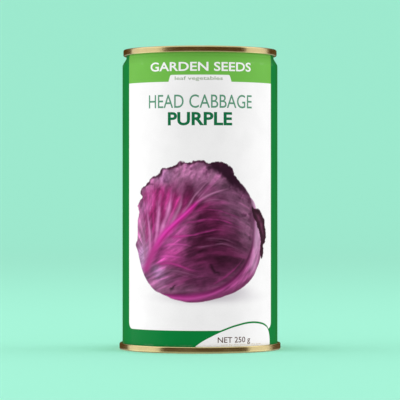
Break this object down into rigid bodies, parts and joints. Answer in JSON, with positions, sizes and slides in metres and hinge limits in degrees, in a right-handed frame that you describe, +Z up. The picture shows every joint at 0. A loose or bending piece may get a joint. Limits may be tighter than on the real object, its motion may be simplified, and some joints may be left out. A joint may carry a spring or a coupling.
{
  "type": "seed can",
  "caption": "Tall printed round can of vegetable seed, with rolled seams at both ends, a slightly narrowed top and a ring-pull lid.",
  "frame": {"origin": "centre of the bottom seam's foot, on the surface that the can stands on", "axes": "+Z up the can's axis; the printed front faces -Y; the ring-pull lies along Y with its nose towards +Y"},
  "size_m": [0.0762, 0.0762, 0.1413],
  "materials": {
    "printed_body": "gloss",
    "lid": "gloss",
    "base": "gloss",
    "pull": "satin",
    "seal": "matte",
    "seed": "satin"
  },
  "bodies": {
    "can": {"can_body": "printed_body", "top_end": "lid", "bottom_end": "base", "tab_tongue": "pull", "top_seam_compound": "seal", "bottom_seam_compound": "seal", "seed_fill": "seed"},
    "pull": {"ring_pull": "pull"}
  },
  "joints": [
    {"name": "pull_lift", "type": "hinge", "parent": "can", "child": "pull", "pos_m": [0, 0.03, 0.13861], "axis": [-1, 0, 0], "range_deg": [0, 90]}
  ]
}
